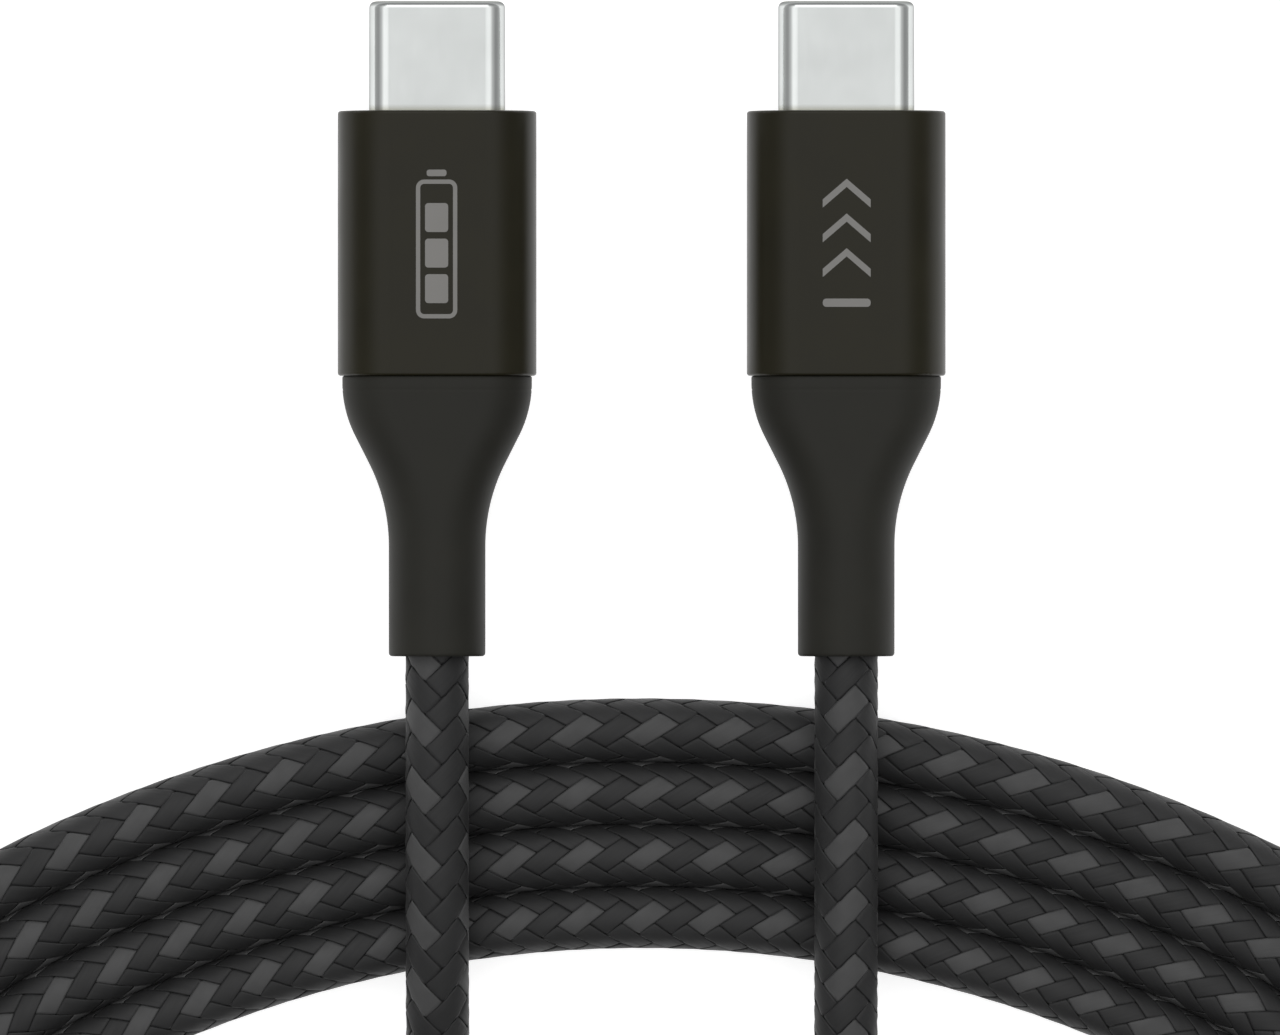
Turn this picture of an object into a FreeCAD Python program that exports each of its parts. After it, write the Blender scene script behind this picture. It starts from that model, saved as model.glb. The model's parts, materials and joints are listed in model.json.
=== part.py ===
import FreeCAD, Part
import math
import os

# A USB-C to USB-C charging cable with a braided cord, lying flat with its cord wound in a coil.
# Units are millimetres. The floor is z = 0, +Z is up, and +Y is the way both plugs point.
# The origin is on the floor, midway between the two connectors and midway along them.
#
# A connector is modelled in a frame of its own: y = 0 is the front face of its housing, +Y is
# towards the plug's tip, and its axis is x = 0, z = 0. place() then stands it in the row frame.

PAST = 1.0                  # a cutting shape runs this far past the faces that it opens

# ---- driving dimensions: where things lie ----
CONNECTOR_X = 12.4          # each connector's axis is this far to one side of x = 0
TILT_DEG = 4.5              # nose down: the cord behind a connector lies over the coil's top turns

# ---- driving dimensions: plug ----
SHELL_WIDTH = 8.25
SHELL_THICK = 2.40
SHELL_WALL = 0.30
SHELL_EXPOSED = 6.65        # shell that stands out of the housing
SHELL_BURIED = 3.60         # shell that runs on inside the housing
SHELL_LIP = 0.35            # the front rim turns inwards over this length
SHELL_LIP_WIDTH = 7.15      # opening at the rim
SHELL_LIP_THICK = 1.45
SHELL_NOSE_ROUND = 0.40

BLOCK_WIDTH = 7.60          # moulded block that fills the shell and carries the contacts
BLOCK_THICK = 1.76
BLOCK_FRONT = 6.25
BLOCK_REAR = -3.40
MOUTH_HALF_WIDTH = 3.42     # the space that a socket's tongue goes into
MOUTH_THICK = 1.00
MOUTH_DEPTH_Y = 1.00        # y of the mouth's bottom

CONTACT_PITCH = 0.50
CONTACT_POSITIONS = 12
CONTACT_WIDTH = 0.22
CONTACT_THICK = 0.12
GROOVE_WIDTH = 0.32
GROOVE_FRONT = 4.70
GROOVE_INNER = 0.32
GROOVE_OUTER = 0.80
CONTACT_PROFILE = [         # y and z along an upper contact: tip, bump, shoulder, run, knee
    (4.45, 0.68),
    (3.90, 0.41),
    (3.10, 0.64),
    (-2.60, 0.66),
]
CONTACT_KNEE_Y = -3.45      # from here to its end a contact lies on the card's pad
CONTACT_END_Y = -4.70
UPPER_FITTED = (1, 4, 5, 6, 7, 9, 12)     # ground, power, configuration, data pair, power, ground
LOWER_FITTED = (1, 4, 5, 9, 12)           # ground, power, cable supply, power, ground

LATCH_PIVOT_X = 3.47        # hinge line of a latch arm, beside the mouth's bottom
LATCH_PIVOT_Y = -0.20
LATCH_PIVOT_R = 0.14
LATCH_SOCKET_R = 0.20
LATCH_ARM_IN = 3.43
LATCH_ARM_OUT = 3.60
LATCH_ARM_TIP = 5.00
LATCH_HOOK_FROM = 4.15
LATCH_HOOK_TO = 4.75
LATCH_HOOK_X = 3.24
LATCH_HOOK_SLOPE = 0.25     # length of the hook's slanting faces
LATCH_THICK = 0.26
LATCH_PLATE_EDGE = 0.12     # base plate beyond the two hinge lines
LATCH_PLATE_REAR = -3.30
LATCH_SLOT_EDGE = 0.19      # the block's slot beyond the two hinge lines
LATCH_SLOT_ENDS = 0.30      # room beyond both ends of an arm

SPRING_PLATE = 0.10         # sheet that the shielding springs are stamped from
SPRING_LEVEL = 0.80         # z of the sheet's middle
SPRING_BAR_Y = (5.90, 6.08) # the bar that joins the fingers
SPRING_BAR_END = 0.15       # the bar beyond the outer fingers
FINGER_PROFILE = [          # y and z along a finger, from the bar to its tip
    (5.99, SPRING_LEVEL),
    (5.72, SPRING_LEVEL),
    (5.42, 0.46),
    (5.08, 0.66),
]
FINGER_WIDTH = 0.70
FINGER_PITCH = 1.40
FINGER_COUNT = 4
POCKET_Y = (4.88, 6.12)     # the block's shallow pocket for a spring's bar
POCKET_FLOOR = 0.74
WINDOW_Y = (4.98, 6.02)     # openings through the block for the fingers
WINDOW_WIDTH = 0.80
SPRING_SIDE_GAP = 0.05      # room at each end of a spring's bar

# ---- driving dimensions: inside the housing ----
CARD_WIDTH = 7.60
CARD_THICK = 0.60
CARD_FRONT = -3.70
CARD_REAR = -9.80
CARD_CHAMFER = 0.50
NOTCH_R = 0.45              # locating notches in the card's sides
NOTCH_Y = -7.00
PAD_THICK = 0.035
CONTACT_PAD_WIDTH = 0.34
CONTACT_PAD_Y = (-4.85, -3.80)
WIRE_PAD_Y = (-9.60, -8.40)
POWER_PAD_X = 1.90
POWER_PAD_WIDTH = 1.50
SIGNAL_PAD_X = 0.45
SIGNAL_PAD_WIDTH = 0.60
CHIP_PART = (1.00, 0.50, 0.40)       # a capacitor's or resistor's length, width and height
UPPER_PARTS = [(-2.5, -6.1), (2.5, -6.1), (-2.5, -7.7), (2.5, -7.7)]
LOWER_PARTS = [(-1.2, -6.8), (1.2, -6.8)]
MARKER_SIZE = 2.50
MARKER_HEIGHT = 0.55
MARKER_Y = -6.80
MARKER_DOT_R = 0.15         # round mark by the chip's first pin
MARKER_DOT_INSET = 0.35
MARKER_DOT_DEPTH = 0.05
CAN_WIDTH = 9.00            # folded screening can round the circuit card
CAN_THICK = 3.40
CAN_ROUND = 1.20
CAN_WALL = 0.20
CAN_FRONT = -1.00
CAN_COLLAR = 2.00           # length at the front that grips the shell
CAN_REAR = -11.90
SEAM_GAP = 0.03

HOUSING_WIDTH = 12.05
HOUSING_THICK = 6.40
HOUSING_LENGTH = 16.05
HOUSING_WALL = 0.80
HOUSING_EDGE_ROUND = 0.18
MOULD_REAR = -14.40         # rear end of the inner moulding

# ---- driving dimensions: cord ----
CORD_D = 3.80
BRAID_BORE = 3.34
JACKET_D = 3.30
JACKET_BORE = 2.60
JACKET_FRONT = -11.60
BRAID_FRONT = -14.60
FERRULE_D = 4.30
FERRULE_FRONT = -12.20
FERRULE_REAR = -14.30
FERRULE_EDGE_ROUND = 0.15
POWER_D = 1.10
SIGNAL_D = 0.55
POWER_LIES_X = 0.60         # where the wires lie in the cord, from its axis
SIGNAL_LIES_X = 0.29
SIGNAL_LIES_Z = 0.90
WIRE_START_Y = -8.50
WIRE_BEND_Y = -9.90         # a wire leaves its pad here, and is in the cord's bundle at the next
WIRE_BUNDLE_Y = -11.40

# ---- driving dimensions: strain relief ----
BOOT_WIDTH = 11.50
BOOT_LENGTH = 17.00
BOOT_TAIL_D = 5.86
SHOULDER_RADIUS = 7.10      # outline: rounded shoulder, straight flank, hollow sweep to the tail
HOLLOW_RADIUS = 11.10
FLANK_DEG = 26.8
SHOULDER_START = 0.40       # straight length before the shoulder
SWEEP_END = 11.20           # the outline is the tail's from here back
TAIL_EDGE_ROUND = 0.25
BOOT_STATIONS = 14
BOOT_SPIGOT_FRONT = -14.50  # the part of the boot that sits inside the housing
FIT_GAP = 0.03              # clearance between fitted pieces

# ---- driving dimensions: coil ----
TURN_COUNT = 4
TURN_PITCH = 3.85
COIL_EDGE_ROUND = 1.5
TOP_CENTRE_Y = -110.0       # the turns' top arcs share this centre
TOP_RADIUS = 85.7           # centreline of the outermost turn
TOP_HALF_DEG = 27.3
UPPER_CORNER = 25.0
LOWER_CORNER = 26.0
LOWER_CORNER_DEG = 72.0

# ---- worked out ----
TILT = math.radians(TILT_DEG)
BOOT_END = -HOUSING_LENGTH - BOOT_LENGTH
TIP_REACH = SHELL_EXPOSED * math.cos(TILT) + SHELL_THICK / 2 * math.sin(TILT)
TAIL_REACH = BOOT_END * math.cos(TILT) - BOOT_TAIL_D / 2 * math.sin(TILT)
SHIFT_Y = -(TIP_REACH + TAIL_REACH) / 2
LIFT_Z = (HOUSING_THICK / 2 - HOUSING_EDGE_ROUND) * math.cos(TILT)
LIFT_Z += HOUSING_EDGE_ROUND * (1 - math.sin(TILT))
CORD_EXIT_Y = BOOT_END * math.cos(TILT) + SHIFT_Y
CORD_EXIT_Z = -BOOT_END * math.sin(TILT) + LIFT_Z

# Route of the cord from the left connector over the top turns, down into the coil's middle and
# round into the innermost turn at the lower left.
LEFT_LEAD = [
    (-12.4, CORD_EXIT_Y, CORD_EXIT_Z),
    (-12.4, -28.0, 6.42),
    (-12.4, -37.0, 6.30),
    (-12.4, -45.6, 3.90),
    (-11.5, -52.9, 2.20),
    (-11.4, -59.1, 1.90),
    (-13.8, -64.8, 1.90),
    (-18.2, -69.2, 1.90),
    (-23.9, -71.4, 1.90),
    (-29.8, -71.2, 1.90),
]

# Route from the outermost turn's right side, up over the lower turns and across the middle to
# the right connector.
RIGHT_LEAD = [
    (52.0, -51.8, 1.90),
    (52.9, -61.9, 2.20),
    (48.0, -72.2, 3.60),
    (40.3, -78.6, 5.20),
    (31.9, -80.7, 6.10),
    (23.2, -78.8, 6.25),
    (16.4, -73.6, 6.10),
    (12.7, -66.0, 5.70),
    (12.4, -58.2, 5.20),
    (12.4, -50.6, 5.15),
    (12.4, -43.0, 5.70),
    (12.4, -35.6, 6.35),
    (12.4, -28.0, 6.42),
    (12.4, CORD_EXIT_Y, CORD_EXIT_Z),
]


# ---- basic shapes ----
def vec(x, y, z):
    return FreeCAD.Vector(x, y, z)


def box(x_low, x_high, y_low, y_high, z_low, z_high):
    """A block between two corners."""
    return Part.makeBox(x_high - x_low, y_high - y_low, z_high - z_low, vec(x_low, y_low, z_low))


def stadium_wire(width, thick, y):
    """A closed outline across Y with flat top and bottom and half-round ends."""
    r = thick / 2
    flat = width / 2 - r
    top = Part.LineSegment(vec(-flat, y, r), vec(flat, y, r))
    right = Part.Arc(vec(flat, y, r), vec(flat + r, y, 0), vec(flat, y, -r))
    bottom = Part.LineSegment(vec(flat, y, -r), vec(-flat, y, -r))
    left = Part.Arc(vec(-flat, y, -r), vec(-flat - r, y, 0), vec(-flat, y, r))
    return Part.Wire([edge.toShape() for edge in (top, right, bottom, left)])


def stadium(width, thick, y_low, y_high):
    """A bar along Y with half-round sides."""
    return Part.Face(stadium_wire(width, thick, y_low)).extrude(vec(0, y_high - y_low, 0))


def rod(diameter, y_low, y_high, x=0.0, z=0.0):
    """A round bar along Y."""
    return Part.makeCylinder(diameter / 2, y_high - y_low, vec(x, y_low, z), vec(0, 1, 0))


def tube(outer, inner, y_low, y_high):
    """A round tube along Y."""
    return rod(outer, y_low, y_high).cut(rod(inner, y_low - PAST, y_high + PAST))


def edges_at_y(shape, y):
    """The edges that lie wholly in the plane at this y."""
    found = []
    for edge in shape.Edges:
        bound = edge.BoundBox
        if abs(bound.YMin - y) < 1e-6 and abs(bound.YMax - y) < 1e-6:
            found.append(edge)
    return found


def rounded_bar(width, thick, corner, y_low, y_high):
    """A bar along Y with rounded long edges."""
    bar = box(-width / 2, width / 2, y_low, y_high, -thick / 2, thick / 2)
    long_edges = [e for e in bar.Edges if e.BoundBox.YLength > 0.5 * (y_high - y_low)]
    return bar.makeFillet(corner, long_edges)


def finger_x(index):
    """The place across the plug of one of a shielding spring's fingers, counted from 0."""
    return (index - (FINGER_COUNT - 1) / 2) * FINGER_PITCH


def under(shape):
    """The same shape on the plug's other side, below its middle."""
    return shape.mirror(vec(0, 0, 0), vec(0, 0, 1))


def contact_x(position):
    """The place across the plug of one contact, counted from 1."""
    return (position - (CONTACT_POSITIONS + 1) / 2) * CONTACT_PITCH


# ---- plug ----
def plug_shell():
    """Drawn steel shell: a flat tube with full-round sides and a rim that turns inwards."""
    outer = stadium(SHELL_WIDTH, SHELL_THICK, -SHELL_BURIED, SHELL_EXPOSED)
    outer = outer.makeFillet(SHELL_NOSE_ROUND, edges_at_y(outer, SHELL_EXPOSED))
    width = SHELL_WIDTH - 2 * SHELL_WALL
    thick = SHELL_THICK - 2 * SHELL_WALL
    hollow = stadium(width, thick, -SHELL_BURIED - PAST, SHELL_EXPOSED - SHELL_LIP)
    opening = stadium(SHELL_LIP_WIDTH, SHELL_LIP_THICK, 0, SHELL_EXPOSED + PAST)
    return outer.cut(hollow).cut(opening)


def mouth():
    """The space for a socket's tongue."""
    half = MOUTH_THICK / 2
    return box(-MOUTH_HALF_WIDTH, MOUTH_HALF_WIDTH, MOUTH_DEPTH_Y, BLOCK_FRONT + PAST, -half, half)


def contact_block():
    """Moulded block with the mouth, a groove for each contact, and room for the latch and springs."""
    block = stadium(BLOCK_WIDTH, BLOCK_THICK, BLOCK_REAR, BLOCK_FRONT).cut(mouth())
    cuts = []
    for position in range(1, CONTACT_POSITIONS + 1):
        left = contact_x(position) - GROOVE_WIDTH / 2
        right = contact_x(position) + GROOVE_WIDTH / 2
        groove = box(left, right, BLOCK_REAR - PAST, GROOVE_FRONT, GROOVE_INNER, GROOVE_OUTER)
        cuts += [groove, under(groove)]
    slot = LATCH_THICK / 2 + FIT_GAP
    plate_edge = LATCH_PIVOT_X + LATCH_SLOT_EDGE
    cuts.append(box(-plate_edge, plate_edge, BLOCK_REAR - PAST, MOUTH_DEPTH_Y, -slot, slot))
    arm_start = LATCH_PIVOT_Y - LATCH_SLOT_ENDS
    arm_end = LATCH_ARM_TIP + LATCH_SLOT_ENDS
    arm_slot = box(MOUTH_HALF_WIDTH / 2, BLOCK_WIDTH / 2 + PAST, arm_start, arm_end, -slot, slot)
    cuts += [arm_slot, arm_slot.mirror(vec(0, 0, 0), vec(1, 0, 0))]
    cuts += [spring_pocket(), under(spring_pocket())]
    return block.cut(cuts)


def spring_pocket():
    """Room for the upper shielding spring in the block's top, with a window for each finger."""
    half = finger_x(FINGER_COUNT - 1) + FINGER_WIDTH / 2 + SPRING_BAR_END + SPRING_SIDE_GAP
    pocket = box(-half, half, *POCKET_Y, POCKET_FLOOR, BLOCK_THICK / 2 + PAST)
    windows = []
    for index in range(FINGER_COUNT):
        left = finger_x(index) - WINDOW_WIDTH / 2
        windows.append(box(left, left + WINDOW_WIDTH, *WINDOW_Y, 0, POCKET_FLOOR + PAST / 10))
    return pocket.fuse(windows)


def strip(points, thick, x_low, x_high):
    """A bent metal strip: a flat ribbon that follows points in the YZ plane."""
    pieces = []
    for (y0, z0), (y1, z1) in zip(points, points[1:]):
        length = math.hypot(y1 - y0, z1 - z0)
        slab = box(x_low, x_high, 0, length, -thick / 2, thick / 2)
        slab.rotate(vec(0, 0, 0), vec(1, 0, 0), math.degrees(math.atan2(z1 - z0, y1 - y0)))
        slab.translate(vec(0, y0, z0))
        pieces.append(slab)
    for y, z in points[1:-1]:
        knee = Part.makeCylinder(thick / 2, x_high - x_low, vec(x_low, y, z), vec(1, 0, 0))
        pieces.append(knee)
    return pieces[0].fuse(pieces[1:]).removeSplitter()


def contacts(fitted, side):
    """Spring contacts: each has a bump that presses on the tongue and a tail on the card."""
    tail = CARD_THICK / 2 + PAD_THICK + CONTACT_THICK / 2
    path = CONTACT_PROFILE + [(CONTACT_KNEE_Y, tail), (CONTACT_END_Y, tail)]
    path = [(y, side * z) for y, z in path]
    springs = []
    for position in fitted:
        x = contact_x(position)
        springs.append(strip(path, CONTACT_THICK, x - CONTACT_WIDTH / 2, x + CONTACT_WIDTH / 2))
    return Part.makeCompound(springs)


def latch_base():
    """Plate in the block's middle that carries the two latch arms."""
    half = LATCH_THICK / 2
    edge = LATCH_PIVOT_X + LATCH_PLATE_EDGE
    plate = box(-edge, edge, LATCH_PLATE_REAR, LATCH_PIVOT_Y, -half, half)
    sockets = []
    for side in (-1, 1):
        centre = vec(side * LATCH_PIVOT_X, LATCH_PIVOT_Y, -PAST)
        sockets.append(Part.makeCylinder(LATCH_SOCKET_R, 2 * PAST, centre))
    return plate.cut(sockets)


def latch_arm(side):
    """Sprung arm beside the mouth, with a hook that clips into the tongue's side."""
    half = LATCH_THICK / 2
    arm = box(LATCH_ARM_IN, LATCH_ARM_OUT, LATCH_PIVOT_Y, LATCH_ARM_TIP, -half, half)
    pivot = Part.makeCylinder(LATCH_PIVOT_R, LATCH_THICK, vec(LATCH_PIVOT_X, LATCH_PIVOT_Y, -half))
    lead_in = (LATCH_ARM_TIP + LATCH_HOOK_TO) / 2
    corners = [
        vec(LATCH_ARM_IN, LATCH_HOOK_FROM - LATCH_HOOK_SLOPE, -half),
        vec(LATCH_HOOK_X, LATCH_HOOK_FROM, -half),
        vec(LATCH_HOOK_X, LATCH_HOOK_TO - LATCH_HOOK_SLOPE, -half),
        vec(LATCH_ARM_IN, lead_in, -half),
    ]
    hook = Part.Face(Part.makePolygon(corners + corners[:1])).extrude(vec(0, 0, LATCH_THICK))
    arm = arm.fuse([pivot, hook]).removeSplitter()
    return arm if side > 0 else arm.mirror(vec(0, 0, 0), vec(1, 0, 0))


def shielding_springs():
    """Two stamped springs, above and below the mouth, whose fingers touch a socket's shield plates."""
    half = finger_x(FINGER_COUNT - 1) + FINGER_WIDTH / 2 + SPRING_BAR_END
    low = SPRING_LEVEL - SPRING_PLATE / 2
    high = SPRING_LEVEL + SPRING_PLATE / 2
    bar = box(-half, half, *SPRING_BAR_Y, low, high)
    fingers = []
    for index in range(FINGER_COUNT):
        left = finger_x(index) - FINGER_WIDTH / 2
        fingers.append(strip(FINGER_PROFILE, SPRING_PLATE, left, left + FINGER_WIDTH))
    spring = bar.fuse(fingers).removeSplitter()
    return Part.makeCompound([spring, under(spring)])


# ---- circuit card ----
def paddle_card():
    """Circuit card with chamfered rear corners and two locating notches in its sides."""
    half = CARD_WIDTH / 2
    card = box(-half, half, CARD_REAR, CARD_FRONT, -CARD_THICK / 2, CARD_THICK / 2)
    rear_corners = []
    for edge in card.Edges:
        upright = edge.BoundBox.ZLength > CARD_THICK / 2
        if upright and edge.BoundBox.YMax < NOTCH_Y:
            rear_corners.append(edge)
    card = card.makeChamfer(CARD_CHAMFER, rear_corners)
    notches = []
    for side in (-1, 1):
        notches.append(Part.makeCylinder(NOTCH_R, 2 * PAST, vec(side * half, NOTCH_Y, -PAST)))
    return card.cut(notches)


def card_pads():
    """Plated pads: one under each contact's tail, and one under each wire."""
    pads = []
    for fitted, side in ((UPPER_FITTED, 1), (LOWER_FITTED, -1)):
        for position in fitted:
            pads.append(card_pad(contact_x(position), CONTACT_PAD_WIDTH, CONTACT_PAD_Y, side))
    for side in (-1, 1):
        pads.append(card_pad(side * POWER_PAD_X, POWER_PAD_WIDTH, WIRE_PAD_Y, 1))
        pads.append(card_pad(side * SIGNAL_PAD_X, SIGNAL_PAD_WIDTH, WIRE_PAD_Y, 1))
        pads.append(card_pad(side * SIGNAL_PAD_X, SIGNAL_PAD_WIDTH, WIRE_PAD_Y, -1))
    return Part.makeCompound(pads)


def card_pad(x, width, y_range, side):
    """One thin pad on the card's top (side 1) or bottom (side -1)."""
    face = CARD_THICK / 2
    pad = box(x - width / 2, x + width / 2, *y_range, face, face + PAD_THICK)
    return pad if side > 0 else under(pad)


def chip_part(x, y):
    """A capacitor or resistor on the card's top, as a plain block."""
    length, width, height = CHIP_PART
    base = CARD_THICK / 2 + PAD_THICK
    return box(x - length / 2, x + length / 2, y - width / 2, y + width / 2, base, base + height)


def card_parts():
    """The small parts on both sides of the card."""
    upper = [chip_part(x, y) for x, y in UPPER_PARTS]
    lower = [under(chip_part(x, y)) for x, y in LOWER_PARTS]
    return Part.makeCompound(upper + lower)


def marker_chip():
    """Square chip that tells a charger what current the cable can carry."""
    half = MARKER_SIZE / 2
    base = CARD_THICK / 2 + PAD_THICK
    top = base + MARKER_HEIGHT
    chip = box(-half, half, MARKER_Y - half, MARKER_Y + half, base, top)
    dot_place = vec(MARKER_DOT_INSET - half, MARKER_Y + half - MARKER_DOT_INSET, top - MARKER_DOT_DEPTH)
    dot = Part.makeCylinder(MARKER_DOT_R, PAST, dot_place)
    return chip.cut(dot)


# ---- screening and wires ----
def shield_can(side):
    """Upper (side 1) or lower (side -1) half of the folded can round the card."""
    outer = rounded_bar(CAN_WIDTH, CAN_THICK, CAN_ROUND, CAN_REAR, CAN_FRONT)
    inner_width = CAN_WIDTH - 2 * CAN_WALL
    inner_thick = CAN_THICK - 2 * CAN_WALL
    inner_front = CAN_FRONT - CAN_COLLAR
    inner_rear = CAN_REAR + CAN_WALL
    hollow = rounded_bar(inner_width, inner_thick, CAN_ROUND - CAN_WALL, inner_rear, inner_front)
    grip_width = SHELL_WIDTH + 2 * FIT_GAP
    grip_thick = SHELL_THICK + 2 * FIT_GAP
    grip = stadium(grip_width, grip_thick, inner_front - CAN_WALL / 2, CAN_FRONT + PAST)
    cable_hole = rod(JACKET_D + 2 * FIT_GAP, CAN_REAR - PAST, CAN_REAR + PAST)
    can = outer.cut([hollow, grip, cable_hole])
    upper = box(-CAN_WIDTH, CAN_WIDTH, CAN_REAR - PAST, CAN_FRONT + PAST, SEAM_GAP / 2, CAN_THICK)
    return can.common(upper if side > 0 else under(upper))


def wire(diameter, pad_x, side, bundle_x, bundle_z):
    """One insulated wire from its pad on the card back into the cord."""
    height = side * (CARD_THICK / 2 + PAD_THICK + diameter / 2)
    knees = [
        vec(pad_x, WIRE_START_Y, height),
        vec(pad_x, WIRE_BEND_Y, height),
        vec(bundle_x, WIRE_BUNDLE_Y, bundle_z),
        vec(bundle_x, BOOT_END, bundle_z),
    ]
    pieces = []
    for start, end in zip(knees, knees[1:]):
        run = end - start
        pieces.append(Part.makeCylinder(diameter / 2, run.Length, start, run))
    for knee in knees[1:-1]:
        pieces.append(Part.makeSphere(diameter / 2, knee))
    return pieces[0].fuse(pieces[1:])


def power_wires():
    """The supply and ground wires."""
    wires = []
    for x in (-1, 1):
        wires.append(wire(POWER_D, x * POWER_PAD_X, 1, x * POWER_LIES_X, 0))
    return Part.makeCompound(wires)


def signal_wires():
    """The data pair, the configuration wire and the cable's own supply."""
    wires = []
    for side in (1, -1):
        for x in (-1, 1):
            bundle_z = side * SIGNAL_LIES_Z
            wires.append(wire(SIGNAL_D, x * SIGNAL_PAD_X, side, x * SIGNAL_LIES_X, bundle_z))
    return Part.makeCompound(wires)


def cord_jacket():
    """The cord's inner jacket, from inside the can to the strain relief's end."""
    return tube(JACKET_D, JACKET_BORE, BOOT_END, JACKET_FRONT)


def cord_sleeve():
    """The cord's braided sleeve where the strain relief covers it."""
    return tube(CORD_D, BRAID_BORE, BOOT_END, BRAID_FRONT)


def crimp_ferrule():
    """Ring crimped on the jacket behind the can, with a rolled front edge."""
    ring = tube(FERRULE_D, JACKET_D + 2 * FIT_GAP, FERRULE_REAR, FERRULE_FRONT)
    middle_length = math.pi * (FERRULE_D + JACKET_D) / 2
    outer_rim = [edge for edge in edges_at_y(ring, FERRULE_FRONT) if edge.Length > middle_length]
    return ring.makeFillet(FERRULE_EDGE_ROUND, outer_rim)


# ---- mouldings ----
def inner_mould():
    """Moulding that locks the can, the shell and the crimp together inside the housing."""
    width = HOUSING_WIDTH - 2 * HOUSING_WALL - 2 * FIT_GAP
    thick = HOUSING_THICK - 2 * HOUSING_WALL - 2 * FIT_GAP
    body = stadium(width, thick, MOULD_REAR, -HOUSING_WALL - FIT_GAP)
    gap = 2 * FIT_GAP
    can_rear = CAN_REAR - FIT_GAP
    can_front = CAN_FRONT + FIT_GAP
    can = rounded_bar(CAN_WIDTH + gap, CAN_THICK + gap, CAN_ROUND, can_rear, can_front)
    shell = stadium(SHELL_WIDTH + gap, SHELL_THICK + gap, CAN_FRONT - PAST, PAST)
    ferrule = rod(FERRULE_D + gap, MOULD_REAR - PAST, CAN_REAR + PAST)
    return body.cut([can, shell, ferrule])


def housing():
    """Outer sleeve with full-round sides, closed at the front round the plug."""
    outer = stadium(HOUSING_WIDTH, HOUSING_THICK, -HOUSING_LENGTH, 0)
    rims = edges_at_y(outer, 0) + edges_at_y(outer, -HOUSING_LENGTH)
    outer = outer.makeFillet(HOUSING_EDGE_ROUND, rims)
    inner_width = HOUSING_WIDTH - 2 * HOUSING_WALL
    inner_thick = HOUSING_THICK - 2 * HOUSING_WALL
    hollow = stadium(inner_width, inner_thick, -HOUSING_LENGTH - PAST, -HOUSING_WALL)
    gap = 2 * FIT_GAP
    slot = stadium(SHELL_WIDTH + gap, SHELL_THICK + gap, -HOUSING_WALL - PAST, PAST)
    return outer.cut([hollow, slot])


def boot_half_width(behind):
    """Half the strain relief's width at a distance behind the housing."""
    flank = math.radians(FLANK_DEG)
    head = BOOT_WIDTH / 2
    tail = BOOT_TAIL_D / 2 + 0.01
    shoulder_end = SHOULDER_START + SHOULDER_RADIUS * math.sin(flank)
    shoulder_drop = SHOULDER_RADIUS * (1 - math.cos(flank))
    hollow_drop = HOLLOW_RADIUS * (1 - math.cos(flank))
    flank_drop = head - tail - shoulder_drop - hollow_drop
    hollow_start = shoulder_end + flank_drop / math.tan(flank)
    hollow_end = hollow_start + HOLLOW_RADIUS * math.sin(flank)
    if behind <= SHOULDER_START:
        return head
    if behind <= shoulder_end:
        along = behind - SHOULDER_START
        return head - SHOULDER_RADIUS + math.sqrt(SHOULDER_RADIUS ** 2 - along ** 2)
    if behind <= hollow_start:
        return head - shoulder_drop - (behind - shoulder_end) * math.tan(flank)
    if behind <= hollow_end:
        along = hollow_end - behind
        return tail + HOLLOW_RADIUS - math.sqrt(HOLLOW_RADIUS ** 2 - along ** 2)
    return tail


def strain_relief():
    """Soft boot: a flat head that sweeps in to a round tail, with a spigot in front."""
    sections = []
    for index in range(BOOT_STATIONS + 1):
        behind = SWEEP_END * index / BOOT_STATIONS
        width = 2 * boot_half_width(behind)
        sections.append(stadium_wire(width, BOOT_TAIL_D, -HOUSING_LENGTH - behind))
    swept = Part.makeLoft(sections, True, False)
    tail_front = -HOUSING_LENGTH - SWEEP_END
    tail = stadium(2 * boot_half_width(BOOT_LENGTH), BOOT_TAIL_D, BOOT_END, tail_front)
    tail = tail.makeFillet(TAIL_EDGE_ROUND, edges_at_y(tail, BOOT_END))
    gap = 2 * (HOUSING_WALL + FIT_GAP)
    spigot_width = HOUSING_WIDTH - gap
    spigot_thick = HOUSING_THICK - gap
    spigot = stadium(spigot_width, spigot_thick, -HOUSING_LENGTH, BOOT_SPIGOT_FRONT)
    bore = rod(CORD_D + 2 * FIT_GAP, BOOT_END - PAST, BOOT_SPIGOT_FRONT + PAST)
    return swept.fuse([tail, spigot]).cut(bore)


# ---- cord ----
def corner_centre_upper():
    """Centre of the upper right corner's arcs, in plan."""
    turn = math.radians(90 - TOP_HALF_DEG)
    reach = TOP_RADIUS - UPPER_CORNER
    return reach * math.cos(turn), TOP_CENTRE_Y + reach * math.sin(turn)


def corner_centre_lower():
    """Centre of the lower right corner's arcs, in plan."""
    x, y = corner_centre_upper()
    return x + UPPER_CORNER - LOWER_CORNER, y


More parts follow.
